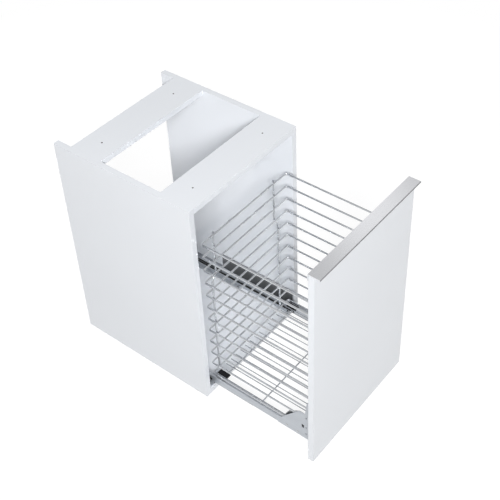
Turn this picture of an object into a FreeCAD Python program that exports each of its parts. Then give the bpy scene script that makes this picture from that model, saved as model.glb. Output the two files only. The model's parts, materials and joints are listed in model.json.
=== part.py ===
import FreeCAD, Part
import math
import os

os.makedirs("parts", exist_ok=True)
V = FreeCAD.Vector

# Driving dimensions in millimetres. The cabinet is drawn pulled out.
# X runs to the right, Y to the back, Z up from the underside of the carcass.

# Carcass boards
carcass_width = 450.0
carcass_height = 720.0
carcass_depth = 490.0
board = 18.0
edge_round = 1.0
rail_width = 112.0
rear_rail_setback = 50.0
worktop_hole_dia = 5.0
worktop_hole_inset = 62.0

# Board joints
joint_inset = 50.0
joint_step = 40.0
dowel_dia = 8.0
dowel_length = 34.0
dowel_in_side = 10.0
cam_dia = 15.0
cam_height = 12.5
cam_setback = 34.0
bolt_dia = 5.0
bolt_in_side = 11.0
bolt_head_dia = 7.0
bolt_head_length = 4.0
bolt_bore_dia = 8.0

# Front and handle
front_thickness = 18.0
front_side_gap = 1.5
front_lift = 3.0
front_height = 712.0
closing_gap = 3.5
pulled_out = 362.0
handle_sheet = 2.0
handle_reach = 17.0
handle_lip = 4.0
handle_leg = 21.0
handle_screw_inset = 40.0
bumper_dia = 10.0
bumper_height = 3.0
bumper_inset = 50.0

# Runner sections, the same on both sides
sheet = 1.5
runner_inset = 26.8
runner_half = 8.2
runner_lip = 3.0
cabinet_channel = 12.0
channel_gap = 1.0
drawer_channel = 25.0
wall_flange = 14.0
floor_flange = 11.0
floor_flange_round = 3.0
run_clear = 0.3
roller_dia = 5.4
roller_length = 8.0
roller_count = 5
cage_length = 110.0
cage_thickness = 2.0
head_half = 5.5
web_thickness = 2.0

# Runner lengths and places along the depth
cabinet_profile_length = 455.0
cabinet_profile_setback = 5.0
floor_flange_setback = 195.0
intermediate_length = 420.0
intermediate_setback = 40.0
drawer_profile_length = 372.0
drawer_profile_gap = 2.5
profile_hole_dia = 3.5
profile_hole_edge = 4.0
profile_hole_first = 31.0
profile_hole_pitch = 145.0
profile_hole_count = 3
runner_screw_first = 32.0
runner_screw_pitch = 192.0
runner_screw_count = 3
runner_screw_rise = 8.5
floor_screw_inset = 7.0

# Dark plate over the front part of the wall flange, measured up from the runner's floor
wall_plate_length = 289.0
wall_plate_low = 2.0
wall_plate_high = 66.0
wall_plate_cover = 2.0
wall_plate_round = 2.0

# Front bracket outline, measured from the front's rear face and from the bracket's lower edge
bracket_length = 130.0
bracket_tail = 25.0
bracket_slope_foot = 122.0
bracket_slope_top = 54.5
bracket_shoulder = 105.5
bracket_arm_root = 34.5
bracket_arm_width = 28.0
bracket_height = 159.0
bracket_flange = 16.0
bracket_round = 2.0
bracket_step = 0.4
bracket_step_back = 52.0
bracket_slot_width = 8.0
bracket_slot_height = 14.0
bracket_slot_back = 41.5
bracket_slot_rise = 48.5
bracket_hole_dia = 4.8
bracket_hole_back = 30.5
bracket_hole_rises = (21.0, 48.5, 90.5)
bracket_screw_rises = (30.0, 83.0, 140.0)
rivet_dia = 4.0
rivet_head_dia = 6.5
rivet_head = 1.0
rivet_rise = 11.0
rivet_first = 22.0
rivet_pitch = 38.0
rivet_count = 3

# Basket
wire_dia = 5.5
stay_dia = 5.5
cross_wire_dia = 4.0
floor_wire_dia = 3.0
basket_side_gap = 23.0
basket_depth = 372.5
basket_bend = 6.0
row_count = 11
row_pitch = 46.5
stay_inset = 36.0
stay_jog = 17.0
stay_jog_row = 7.68
stay_jog_rise = 17.0
stay_bend = 12.0
stay_proud = 5.0
floor_wire_count = 17
floor_wire_edge = 6.0
floor_wire_rear_inset = 9.0
floor_wire_front_gap = 12.0
cross_wire_rear_inset = 35.0
cross_wire_middle_inset = 179.0
cross_wire_front_gap = 22.0
end_bar_sheet = 2.0
end_bar_width = 13.0
end_bar_outer = 3.7
end_bar_proud = 12.0

# Basket clips and catches
pin_dia = 5.0
clip_pin_inset = 12.0
clip_height = 6.25
clip_rear_inset = 9.0
clip_length = 38.0
clip_inner = 22.2
clip_outer = 2.8
clip_lug_height = 3.0
clip_lug_edge = 1.0
clip_lug_inset = 2.2
clip_overhang = 6.0
clip_skirt = 4.5
clip_round = 0.8

# Catch outline, measured from the front's rear face and from the drawer profile's top
catch_thickness = 5.0
catch_inset = 0.5
catch_front = 50.0
catch_back = 117.0
catch_knee_back = 106.0
catch_knee_rise = 20.5
catch_top_back = 68.0
catch_height = 46.0
catch_round = 8.0
catch_foot_height = 5.0
catch_foot_front = 35.0
catch_foot_back = 110.0
catch_tongue = 1.3
catch_tongue_front = 12.0
catch_tongue_height = 70.0
catch_hook_length = 22.0
catch_hook_height = 3.0

# Flat sides of wires and small turned pieces, which repeat many times
wire_sides = 8
turned_sides = 10

# Screws
screw_dia = 3.5
screw_length = 14.0
screw_head_dia = 7.0
screw_head = 2.0

# Worked out from the sizes above
inner_half = carcass_width / 2 - board
carcass_front = -carcass_depth / 2
carcass_rear = carcass_depth / 2
front_back = carcass_front - closing_gap - pulled_out
front_face = front_back - front_thickness
front_half = carcass_width / 2 - front_side_gap
front_top = front_lift + front_height
handle_top = front_top + handle_sheet
runner_x = runner_inset - inner_half
runner_floor = board
lower_roller_z = runner_floor + sheet + run_clear + roller_dia / 2
lower_head_z = lower_roller_z + roller_dia / 2 + run_clear
channel_top = runner_floor + cabinet_channel
drawer_low = channel_top + channel_gap
drawer_top = drawer_low + drawer_channel
upper_roller_z = drawer_top - sheet - run_clear - roller_dia / 2
upper_head_z = upper_roller_z - roller_dia / 2 - run_clear
cabinet_profile_front = carcass_front + cabinet_profile_setback
cabinet_profile_rear = cabinet_profile_front + cabinet_profile_length
wall_plate_rear = cabinet_profile_front + wall_plate_length
intermediate_front = carcass_front + intermediate_setback - pulled_out / 2
intermediate_rear = intermediate_front + intermediate_length
drawer_profile_front = front_back + drawer_profile_gap
drawer_profile_rear = drawer_profile_front + drawer_profile_length
basket_half = inner_half - basket_side_gap
basket_rear = front_back + basket_depth
base_z = drawer_top + clip_height + wire_dia / 2
top_row_z = base_z + row_count * row_pitch
cross_z = base_z - wire_dia / 2 - cross_wire_dia / 2
floor_z = cross_z + cross_wire_dia / 2 + floor_wire_dia / 2
floor_half = basket_half - floor_wire_edge
floor_wire_inner = floor_wire_dia / 2 - floor_half
end_bar_edge = -basket_half - end_bar_outer
end_bar_x = end_bar_edge + end_bar_width / 2
bracket_skin = runner_x - runner_half


# Small shape helpers
def block(x0, x1, y0, y1, z0, z1):
    return Part.makeBox(x1 - x0, y1 - y0, z1 - z0, V(x0, y0, z0))


def rod(start, end, dia):
    run = end - start
    return Part.makeCylinder(dia / 2, run.Length, start, run)


def flat_ring(centre, direction, dia, sides):
    # A regular outline whose flats lie at half the diameter, two of them square to the plan
    along = V(direction).normalize()
    side = along.cross(V(0, 0, 1))
    if side.Length < 1e-6:
        side = V(1, 0, 0)
    side.normalize()
    up = side.cross(along)
    step = 2 * math.pi / sides
    reach = dia / 2 / math.cos(step / 2)
    corners = []
    for i in range(sides):
        angle = (i + 0.5) * step
        corners.append(centre + side * (reach * math.cos(angle)) + up * (reach * math.sin(angle)))
    return Part.makePolygon(corners + corners[:1])


def flat_rod(start, end, dia, sides=wire_sides):
    run = end - start
    return Part.Face(flat_ring(start, run, dia, sides)).extrude(run)


def mirrored(shape):
    return shape.mirror(V(0, 0, 0), V(1, 0, 0))


def in_pairs(shapes):
    return shapes + [mirrored(shape) for shape in shapes]


def joined(shapes):
    return shapes[0].fuse(shapes[1:]).removeSplitter()


def save(name, shapes):
    whole = shapes[0] if len(shapes) == 1 else Part.makeCompound(shapes)
    whole.exportStep("parts/" + name + ".step")


def save_both(name, left):
    save(name + "_left", [left])
    save(name + "_right", [mirrored(left)])


def corner_points(before, corner, after, radius):
    to_before = (before - corner).normalize()
    to_after = (after - corner).normalize()
    half_angle = to_before.getAngle(to_after) / 2
    reach = radius / math.tan(half_angle)
    inward = (to_before + to_after).normalize()
    sagitta = radius / math.sin(half_angle) - radius
    return corner + to_before * reach, corner + inward * sagitta, corner + to_after * reach


def bent_wire(points, dia, bend):
    # Each bend is two short straight runs with mitred ends
    path = points[:1]
    for before, corner, after in zip(points, points[1:], points[2:]):
        path.extend(corner_points(before, corner, after, bend))
    path.append(points[-1])
    ring = flat_ring(path[0], path[1] - path[0], dia, wire_sides)
    return Part.makePolygon(path).makePipeShell([ring], True, False, 1)


def along_y(section, y0, y1):
    # Section given as pairs of X and Z
    corners = [V(x, y0, z) for x, z in section]
    face = Part.Face(Part.makePolygon(corners + corners[:1]))
    return face.extrude(V(0, y1 - y0, 0))


def along_x(section, x0, x1):
    # Section given as pairs of Y and Z
    corners = [V(x0, y, z) for y, z in section]
    face = Part.Face(Part.makePolygon(corners + corners[:1]))
    return face.extrude(V(x1 - x0, 0, 0))


def rounded_at(shape, places, radius, axis):
    # Rounds the straight edges that run along the axis through the given places
    picked = []
    for edge in shape.Edges:
        ends = [vertex.Point for vertex in edge.Vertexes]
        if len(ends) == 2 and (ends[1] - ends[0]).cross(axis).Length < 1e-6:
            gaps = [(place - ends[0]).cross(axis).Length for place in places]
            if min(gaps) < 1e-6:
                picked.append(edge)
    return shape.makeFillet(radius, picked)


def pan_screw(seat, direction):
    # Seat is the point under the head, the direction points into the hole
    shank = flat_rod(seat, seat + direction * screw_length, screw_dia)
    head = flat_rod(seat - direction * screw_head, seat, screw_head_dia, turned_sides)
    return joined([head, shank])


def flush_screw(seat, direction, sink):
    # A flat head let into the sheet, level with the seat
    shank = flat_rod(seat, seat + direction * screw_length, screw_dia)
    return joined([flat_rod(seat, seat + direction * sink, screw_head_dia), shank])


# Board joints, as places along Y with the height of the board's middle
def joint_rows():
    bottom_mid = board / 2
    rail_mid = carcass_height - board / 2
    front_rail_mid = carcass_front + rail_width / 2
    rear_rail_mid = carcass_rear - rear_rail_setback - rail_width / 2
    half_step = joint_step / 2
    return [
        (carcass_front + joint_inset, carcass_front + joint_inset + joint_step, bottom_mid),
        (carcass_rear - joint_inset, carcass_rear - joint_inset - joint_step, bottom_mid),
        (front_rail_mid - half_step, front_rail_mid + half_step, rail_mid),
        (rear_rail_mid - half_step, rear_rail_mid + half_step, rail_mid),
    ]


def dowel(y, z):
    start = -inner_half - dowel_in_side
    return flat_rod(V(start, y, z), V(start + dowel_length, y, z), dowel_dia)


def cam_bolt(y, z):
    end = V(-inner_half + cam_setback, y, z)
    neck = end - V(bolt_head_length, 0, 0)
    shank = flat_rod(V(-inner_half - bolt_in_side, y, z), neck, bolt_dia)
    return joined([shank, flat_rod(neck, end, bolt_head_dia)])


def cam_space(y, z):
    under = V(-inner_half + cam_setback, y, z - board / 2)
    return flat_rod(under, under + V(0, 0, cam_height), cam_dia, turned_sides)


def cam_lock(y, z):
    middle = V(-inner_half + cam_setback, y, z)
    mouth = flat_rod(middle - V(cam_dia, 0, 0), middle + V(run_clear, 0, 0), bolt_bore_dia)
    return cam_space(y, z).cut(mouth)


def end_bores():
    # Everything drilled for the joints in the left half of the boards
    bores = []
    for cam_y, dowel_y, z in joint_rows():
        face = V(-inner_half, cam_y, z)
        bores.append(dowel(dowel_y, z))
        bores.append(cam_space(cam_y, z))
        bores.append(flat_rod(face - V(bolt_in_side, 0, 0), face, bolt_dia))
        bores.append(flat_rod(face, face + V(cam_setback, 0, 0), bolt_bore_dia))
    return bores


# Carcass
def side_panel(bores):
    outer = -carcass_width / 2
    panel = block(outer, -inner_half, carcass_front, carcass_rear, 0, carcass_height)
    places = [V(x, y, 0) for x in (outer, -inner_half) for y in (carcass_front, carcass_rear)]
    return rounded_at(panel, places, edge_round, V(0, 0, 1)).cut(bores)


def cross_board(y0, y1, z0, bores):
    plank = block(-inner_half, inner_half, y0, y1, z0, z0 + board)
    places = [V(0, y, z) for y in (y0, y1) for z in (z0, z0 + board)]
    return rounded_at(plank, places, edge_round, V(1, 0, 0)).cut(bores)


def worktop_holes(y):
    low = V(worktop_hole_inset - inner_half, y, carcass_height - board)
    return in_pairs([rod(low, low + V(0, 0, board), worktop_hole_dia)])


def make_carcass(wall_screws, floor_screws):
    bores = end_bores()
    both_ends = in_pairs(bores)
    save_both("side_panel", side_panel(bores + wall_screws))
    floor_bores = both_ends + in_pairs(floor_screws)
    save("bottom_panel", [cross_board(carcass_front, carcass_rear, 0, floor_bores)])
    rail_z = carcass_height - board
    front_rail_end = carcass_front + rail_width
    rear_rail_end = carcass_rear - rear_rail_setback
    rear_rail_start = rear_rail_end - rail_width
    front_holes = worktop_holes(carcass_front + rail_width / 2)
    rear_holes = worktop_holes(rear_rail_end - rail_width / 2)
    save("front_rail", [cross_board(carcass_front, front_rail_end, rail_z, both_ends + front_holes)])
    save("rear_rail", [cross_board(rear_rail_start, rear_rail_end, rail_z, both_ends + rear_holes)])
    rows = joint_rows()
    save("carcass_dowels", in_pairs([dowel(dowel_y, z) for _, dowel_y, z in rows]))
    save("cam_bolts", in_pairs([cam_bolt(cam_y, z) for cam_y, _, z in rows]))
    save("cam_locks", in_pairs([cam_lock(cam_y, z) for cam_y, _, z in rows]))


# Runners
def half_channel(back_z, lip_z):
    wall = math.copysign(sheet, back_z - lip_z)
    inner = runner_half - sheet
    lip = inner - runner_lip
    return [
        (runner_half, back_z),
        (runner_half, lip_z),
        (lip, lip_z),
        (lip, lip_z + wall),
        (inner, lip_z + wall),
        (inner, back_z - wall),
    ]


def lipped_channel(back_z, lip_z, y0, y1):
    # A C-section round the left runner's centre line, open towards the lips
    inner_side = half_channel(back_z, lip_z)
    outer_side = [(-x, z) for x, z in reversed(inner_side)]
    return along_y([(runner_x + x, z) for x, z in inner_side + outer_side], y0, y1)


def runner_wall_screws():
    # Those in front hold the wall plate together with the flange
    made = []
    for i in range(runner_screw_count):
        y = cabinet_profile_front + runner_screw_first + runner_screw_pitch * i
        seat = -inner_half + sheet
        if y < wall_plate_rear:
            seat += wall_plate_cover
        made.append(pan_screw(V(seat, y, runner_floor + runner_screw_rise), V(-1, 0, 0)))
    return made


def runner_floor_screws():
    x = runner_x + runner_half + floor_flange / 2
    first = carcass_front + floor_flange_setback + floor_screw_inset
    last = cabinet_profile_rear - floor_screw_inset
    return [pan_screw(V(x, y, runner_floor + sheet), V(0, 0, -1)) for y in (first, last)]


def cabinet_profile(screws):
    y0 = cabinet_profile_front
    y1 = cabinet_profile_rear
    top = runner_floor + sheet
    channel = lipped_channel(runner_floor, channel_top, y0, y1)
    foot = block(-inner_half, runner_x, y0, y1, runner_floor, top)
    wall = block(-inner_half, -inner_half + sheet, y0, y1, runner_floor, runner_floor + wall_flange)
    edge = runner_x + runner_half + floor_flange
    flange_front = carcass_front + floor_flange_setback
    flange = block(runner_x, edge, flange_front, y1, runner_floor, top)
    flange = rounded_at(flange, [V(edge, flange_front, 0)], floor_flange_round, V(0, 0, 1))
    return joined([channel, foot, wall, flange]).cut(screws)


def wall_plate(screws):
    # Thick enough to reach the wall above the flange, with a rebate over the flange
    low = runner_floor + wall_plate_low
    high = runner_floor + wall_plate_high
    behind = -inner_half + sheet
    inside = behind + wall_plate_cover
    plate = block(-inner_half, inside, cabinet_profile_front, wall_plate_rear, low, high)
    corners = [V(0, y, high) for y in (cabinet_profile_front, wall_plate_rear)]
    plate = rounded_at(plate, corners, wall_plate_round, V(1, 0, 0))
    flange_top = runner_floor + wall_flange
    rebate = block(-inner_half, behind, cabinet_profile_front, wall_plate_rear, low, flange_top)
    return plate.cut([rebate] + screws)


def intermediate_profile():
    half_web = web_thickness / 2
    right = [
        (head_half, lower_head_z),
        (head_half, lower_head_z + sheet),
        (half_web, lower_head_z + sheet),
        (half_web, upper_head_z - sheet),
        (head_half, upper_head_z - sheet),
        (head_half, upper_head_z),
    ]
    left = [(-x, z) for x, z in reversed(right)]
    section = [(runner_x + x, z) for x, z in right + left]
    return along_y(section, intermediate_front, intermediate_rear)


def roller_places(middle):
    pitch = cage_length / roller_count
    first = middle - cage_length / 2 + pitch / 2
    return [first + pitch * i for i in range(roller_count)]


def rollers(middle, z):
    half = roller_length / 2
    return [
        flat_rod(V(runner_x - half, y, z), V(runner_x + half, y, z), roller_dia)
        for y in roller_places(middle)
    ]


def roller_cage(middle, z):
    half = runner_half - sheet - run_clear * 1.5
    end = cage_length / 2
    rise = cage_thickness / 2
    strip = block(runner_x - half, runner_x + half, middle - end, middle + end, z - rise, z + rise)
    side = roller_length / 2 + run_clear
    gap = roller_dia / 2 + run_clear
    windows = [
        block(runner_x - side, runner_x + side, y - gap, y + gap, z - rise, z + rise)
        for y in roller_places(middle)
    ]
    return strip.cut(windows)


def save_cage(name, middle, z):
    save_both(name + "_cage", roller_cage(middle, z))
    left = rollers(middle, z)
    save(name + "_rollers_left", left)
    save(name + "_rollers_right", [mirrored(roller) for roller in left])


def drawer_profile(rivets):
    y0 = drawer_profile_front
    y1 = drawer_profile_rear
    channel = lipped_channel(drawer_top, drawer_low, y0, y1)
    bends = [V(runner_x + offset, 0, drawer_top) for offset in (-runner_half, runner_half)]
    channel = rounded_at(channel, bends, sheet, V(0, 1, 0))
    x = runner_x - runner_half + profile_hole_edge
    holes = [clip_pin(), catch_pin(), bracket_hole(bracket_hole_rises[0])]
    for i in range(profile_hole_count):
        y = y1 - profile_hole_first - profile_hole_pitch * i
        holes.append(through_profile_top(x, y, profile_hole_dia))
    return channel.cut(holes + rivets)


def make_runners(wall_screws, floor_screws, rivets):
    save_both("cabinet_profile", cabinet_profile(wall_screws + floor_screws))
    save_both("wall_plate", wall_plate(wall_screws))
    save("runner_screws", in_pairs(wall_screws + floor_screws))
    save_both("intermediate_profile", intermediate_profile())
    save_cage("lower", (cabinet_profile_front + intermediate_rear) / 2, lower_roller_z)
    save_cage("upper", (intermediate_front + drawer_profile_rear) / 2, upper_roller_z)
    save_both("drawer_profile", drawer_profile(rivets))


# Front brackets
def bracket_rivets():
    inside = bracket_skin + sheet
    outside = bracket_skin - sheet
    z = drawer_low + rivet_rise
    made = []
    for i in range(rivet_count):
        y = front_back + rivet_first + rivet_pitch * i
        shank = flat_rod(V(outside, y, z), V(inside, y, z), rivet_dia)
        heads = [
            flat_rod(V(outside - rivet_head, y, z), V(outside, y, z), rivet_head_dia),
            flat_rod(V(inside, y, z), V(inside + rivet_head, y, z), rivet_head_dia),
        ]
        made.append(joined([shank] + heads))
    return made


def bracket_screws():
    x = bracket_skin - sheet - bracket_flange / 2
    return [
        pan_screw(V(x, front_back + sheet, drawer_low + rise), V(0, -1, 0))
        for rise in bracket_screw_rises
    ]


def bracket_hole(rise):
    # Long enough for the bracket and the profile's wall behind it
    start = V(bracket_skin - sheet - bracket_step, front_back + bracket_hole_back, drawer_low + rise)
    return flat_rod(start, start + V(2 * sheet + bracket_step, 0, 0), bracket_hole_dia)


def front_bracket(screws, rivets):
    outline = [
        (0, 0),
        (bracket_length, 0),
        (bracket_slope_foot, bracket_tail),
        (bracket_slope_top, bracket_shoulder),
        (bracket_arm_root, bracket_shoulder),
        (bracket_arm_width, bracket_height),
        (0, bracket_height),
    ]
    section = [(front_back + y, drawer_low + z) for y, z in outline]
    outside = bracket_skin - sheet
    stepped = outside - bracket_step
    top = drawer_low + bracket_height
    plate = along_x(section, stepped, bracket_skin)
    corners = [V(0, y, z) for y, z in section[1:6]]
    plate = rounded_at(plate, corners, bracket_round, V(1, 0, 0))
    flange = block(outside - bracket_flange, bracket_skin, front_back, front_back + sheet, drawer_low, top)
    y = front_back + bracket_slot_back
    z = drawer_low + bracket_slot_rise
    half_width = bracket_slot_width / 2
    half_height = bracket_slot_height / 2
    slot = block(stepped, bracket_skin, y - half_width, y + half_width, z - half_height, z + half_height)
    step_end = front_back + bracket_step_back
    set_back = block(stepped, outside, step_end, front_back + bracket_length, drawer_low, top)
    holes = [bracket_hole(rise) for rise in bracket_hole_rises]
    return joined([plate, flange]).cut([slot, set_back] + holes + screws + rivets)


# Basket
def u_wire(z):
    points = [
        V(-basket_half, front_back + end_bar_sheet, z),
        V(-basket_half, basket_rear, z),
        V(basket_half, basket_rear, z),
        V(basket_half, front_back + end_bar_sheet, z),
    ]
    return bent_wire(points, wire_dia, basket_bend)


def rear_stay():
    y = basket_rear + wire_dia / 2 + stay_dia / 2
    low_x = stay_inset - basket_half
    high_x = low_x + stay_jog
    jog_z = base_z + stay_jog_row * row_pitch
    points = [
        V(low_x, y, base_z - wire_dia / 2),
        V(low_x, y, jog_z - stay_jog_rise / 2),
        V(high_x, y, jog_z + stay_jog_rise / 2),
        V(high_x, y, top_row_z + stay_proud),
    ]
    return bent_wire(points, stay_dia, stay_bend)


def floor_wires():
    rear = basket_rear - floor_wire_rear_inset
    front = front_back + floor_wire_front_gap
    pitch = 2 * floor_half / (floor_wire_count - 1)
    places = [pitch * i - floor_half for i in range(floor_wire_count)]
    return [flat_rod(V(x, front, floor_z), V(x, rear, floor_z), floor_wire_dia) for x in places]


def cross_wire(y):
    reach = basket_half + wire_dia / 2
    return flat_rod(V(-reach, y, cross_z), V(reach, y, cross_z), cross_wire_dia)


def end_bar_screws():
    y = front_back + end_bar_sheet
    gaps = (1, row_count // 2, row_count - 1)
    heights = [base_z + (gap + 0.5) * row_pitch for gap in gaps]
    return [pan_screw(V(end_bar_x, y, z), V(0, -1, 0)) for z in heights]


def end_bar(screws):
    low = base_z - end_bar_proud
    high = top_row_z + end_bar_proud
    edge = end_bar_edge + end_bar_width
    return block(end_bar_edge, edge, front_back, front_back + end_bar_sheet, low, high).cut(screws)


def make_basket(screws):
    for row in range(row_count):
        save("basket_wire_%02d" % (row + 1), [u_wire(top_row_z - row * row_pitch)])
    save("basket_base_frame", [u_wire(base_z)])
    save_both("basket_stay", rear_stay())
    save("floor_wires", floor_wires())
    save("floor_cross_wire_rear", [cross_wire(basket_rear - cross_wire_rear_inset)])
    save("floor_cross_wire_middle", [cross_wire(basket_rear - cross_wire_middle_inset)])
    save("floor_cross_wire_front", [cross_wire(front_back + cross_wire_front_gap)])
    save_both("basket_end_bar", end_bar(screws))


# Clips and catches between basket and drawer profile, each with a pin in the profile's top
def through_profile_top(x, y, dia):
    top = V(x, y, drawer_top)
    return flat_rod(top - V(0, 0, sheet), top, dia)


def clip_pin():
    return through_profile_top(runner_x, basket_rear - clip_rear_inset - clip_pin_inset, pin_dia)


def catch_pin():
    return through_profile_top(runner_x, front_back + (catch_foot_front + catch_foot_back) / 2, pin_dia)


def basket_clip():
    rear = basket_rear - clip_rear_inset
    front = rear - clip_length
    top = drawer_top + clip_height
    inner = runner_x + clip_inner
    low = drawer_top - clip_skirt
    pad_front = front + clip_overhang
    pad = block(runner_x - clip_outer, inner, pad_front, rear, drawer_top, top)
    skirt = block(runner_x + runner_half, inner, pad_front, rear, low, drawer_top)
    corners = [V(inner, y, 0) for y in (pad_front, rear)]
    pad = rounded_at(joined([pad, skirt]), corners, clip_round, V(0, 0, 1))
    lug = block(
        floor_wire_inner + run_clear, inner - clip_lug_inset, front, rear - clip_lug_edge,
        top, top + clip_lug_height,
    )
    wire_y = basket_rear - cross_wire_rear_inset
    half = cross_wire_dia / 2
    mouth = block(runner_x - clip_outer, inner, wire_y - half, wire_y + half, low, cross_z)
    return joined([pad, lug, clip_pin()]).cut([mouth, cross_wire(wire_y)])


def basket_catch():
    # An upright cheek inside the wires, a foot below them and a thin tongue behind the bracket's holes
    outline = [
        (catch_front, 0),
        (catch_back, 0),
        (catch_knee_back, catch_knee_rise),
        (catch_top_back, catch_height),
        (catch_front, catch_height),
    ]
    section = [(front_back + y, drawer_top + z) for y, z in outline]
    outside = runner_x + runner_half + catch_inset
    cheek = along_x(section, outside, outside + catch_thickness)
    cheek = rounded_at(cheek, [V(0, y, z) for y, z in section[2:]], catch_round, V(1, 0, 0))
    foot = block(
        bracket_skin, outside + catch_thickness, front_back + catch_foot_front, front_back + catch_foot_back,
        drawer_top, drawer_top + catch_foot_height,
    )
    tongue = block(
        bracket_skin, bracket_skin + catch_tongue, front_back + catch_tongue_front, front_back + catch_front,
        drawer_top, drawer_top + catch_tongue_height,
    )
    wire_top = base_z + wire_dia / 2
    hook_front = front_back + (catch_front + catch_back - catch_hook_length) / 2
    hook_top = wire_top + catch_hook_height
    hook = block(-basket_half, outside, hook_front, hook_front + catch_hook_length, wire_top, hook_top)
    return joined([cheek, foot, tongue, hook, catch_pin()])


# Front panel, handle and bumpers
def handle_screws():
    y = front_back + handle_sheet
    z = handle_top - handle_leg / 2
    places = (handle_screw_inset - front_half, 0, front_half - handle_screw_inset)
    return [flush_screw(V(x, y, z), V(0, -1, 0), handle_sheet / 2) for x in places]


def edge_handle(screws):
    rear = front_back + handle_sheet
    lip = front_face - handle_reach
    section = [
        (lip, handle_top - handle_lip),
        (lip, handle_top),
        (rear, handle_top),
        (rear, handle_top - handle_leg),
        (front_back, handle_top - handle_leg),
        (front_back, front_top),
        (lip + handle_sheet, front_top),
        (lip + handle_sheet, handle_top - handle_lip),
    ]
    shell = along_x(section, -front_half, front_half)
    bends = [V(0, lip, handle_top), V(0, rear, handle_top)]
    return rounded_at(shell, bends, handle_sheet / 2, V(1, 0, 0)).cut(screws)


def front_panel(screws):
    panel = block(-front_half, front_half, front_face, front_back, front_lift, front_top)
    upright = [V(x, y, 0) for x in (-front_half, front_half) for y in (front_face, front_back)]
    panel = rounded_at(panel, upright, edge_round, V(0, 0, 1))
    return panel.cut(screws)


def bumpers():
    x = -inner_half - board / 2
    heights = (front_lift + bumper_inset, handle_top - handle_leg - bumper_inset)
    return [
        flat_rod(V(x, front_back, z), V(x, front_back + bumper_height, z), bumper_dia, turned_sides)
        for z in heights
    ]


def make_front():
    rivets = bracket_rivets()
    flange_screws = bracket_screws()
    bar_screws = end_bar_screws()
    fixing = in_pairs(flange_screws + bar_screws)
    top_screws = handle_screws()
    save("front_panel", [front_panel(fixing + top_screws)])
    save("edge_handle", [edge_handle(top_screws)])
    save("handle_screws", top_screws)
    save("front_screws", fixing)
    save("closing_bumpers", in_pairs(bumpers()))
    save_both("front_bracket", front_bracket(flange_screws, rivets))
    save("bracket_rivets", in_pairs(rivets))
    save_both("basket_clip", basket_clip())
    save_both("basket_catch", basket_catch())
    make_basket(bar_screws)
    return rivets


side_screws = runner_wall_screws()
bottom_screws = runner_floor_screws()
make_carcass(side_screws, bottom_screws)
make_runners(side_screws, bottom_screws, make_front())
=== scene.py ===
import bmesh
import bpy
import json
import math
from mathutils import Matrix, Quaternion, Vector


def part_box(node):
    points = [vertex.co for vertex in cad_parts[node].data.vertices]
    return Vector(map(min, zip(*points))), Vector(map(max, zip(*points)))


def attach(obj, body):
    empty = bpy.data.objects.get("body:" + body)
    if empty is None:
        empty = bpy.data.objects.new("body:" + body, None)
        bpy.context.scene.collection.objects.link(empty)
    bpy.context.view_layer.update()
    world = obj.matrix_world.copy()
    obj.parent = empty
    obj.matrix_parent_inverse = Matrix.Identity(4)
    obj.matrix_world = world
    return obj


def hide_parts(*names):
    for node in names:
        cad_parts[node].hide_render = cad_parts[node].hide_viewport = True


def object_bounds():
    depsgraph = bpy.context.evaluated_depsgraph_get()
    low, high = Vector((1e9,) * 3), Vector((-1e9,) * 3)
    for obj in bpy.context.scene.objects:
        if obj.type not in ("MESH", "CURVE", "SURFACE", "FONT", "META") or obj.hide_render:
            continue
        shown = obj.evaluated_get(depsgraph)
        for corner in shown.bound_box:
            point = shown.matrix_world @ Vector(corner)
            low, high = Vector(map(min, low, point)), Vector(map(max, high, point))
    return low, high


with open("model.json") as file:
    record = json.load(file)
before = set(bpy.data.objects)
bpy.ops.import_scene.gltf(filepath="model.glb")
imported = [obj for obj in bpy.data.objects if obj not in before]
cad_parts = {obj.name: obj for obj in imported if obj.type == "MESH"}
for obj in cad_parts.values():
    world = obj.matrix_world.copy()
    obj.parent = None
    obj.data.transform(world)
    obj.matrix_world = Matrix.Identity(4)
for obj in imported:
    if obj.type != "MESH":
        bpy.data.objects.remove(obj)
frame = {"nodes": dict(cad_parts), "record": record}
cadNodes = frame["nodes"]
cadLow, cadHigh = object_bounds()
scene = bpy.context.scene
scene.view_settings.view_transform = "Standard"
print("frame loaded with", len(cadNodes), "CAD nodes")


# Node building blocks, for materials, the world and Geometry Nodes alike
def mathNode(tree, operation, *values):
    # A value is another node's output or a plain number
    node = tree.nodes.new("ShaderNodeMath")
    node.operation = operation
    for socket, value in zip(node.inputs, values):
        if isinstance(value, bpy.types.NodeSocket):
            tree.links.new(value, socket)
        else:
            socket.default_value = value
    return node.outputs["Value"]


def spreadNode(tree, value, source, target):
    # Carries the source range over to the target range
    spread = tree.nodes.new("ShaderNodeMapRange")
    labels = ("From Min", "From Max", "To Min", "To Max")
    for label, limit in zip(labels, (*source, *target)):
        spread.inputs[label].default_value = limit
    tree.links.new(value, spread.inputs["Value"])
    return spread.outputs["Result"]


def largestOf(tree, first, second, third):
    return mathNode(tree, "MAXIMUM", mathNode(tree, "MAXIMUM", first, second), third)


def opaque(colour):
    return (*colour, 1.0)


def opaqueGrey(tone):
    return (tone, tone, tone, 1.0)


# Material building blocks
noiseSpan = (0.3, 0.7)  # where nearly all of a noise's values lie
evenStretch = (1.0, 1.0, 1.0)


def objectNoise(made, look):
    nodes = made.node_tree.nodes
    links = made.node_tree.links
    place = nodes.new("ShaderNodeTexCoord")
    mapping = nodes.new("ShaderNodeMapping")
    mapping.inputs["Scale"].default_value = look.get("stretch", evenStretch)
    noise = nodes.new("ShaderNodeTexNoise")
    noise.inputs["Scale"].default_value = look["scale"]
    noise.inputs["Detail"].default_value = look["detail"]
    links.new(place.outputs["Object"], mapping.inputs["Vector"])
    links.new(mapping.outputs["Vector"], noise.inputs["Vector"])
    return noise.outputs["Fac"]


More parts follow.
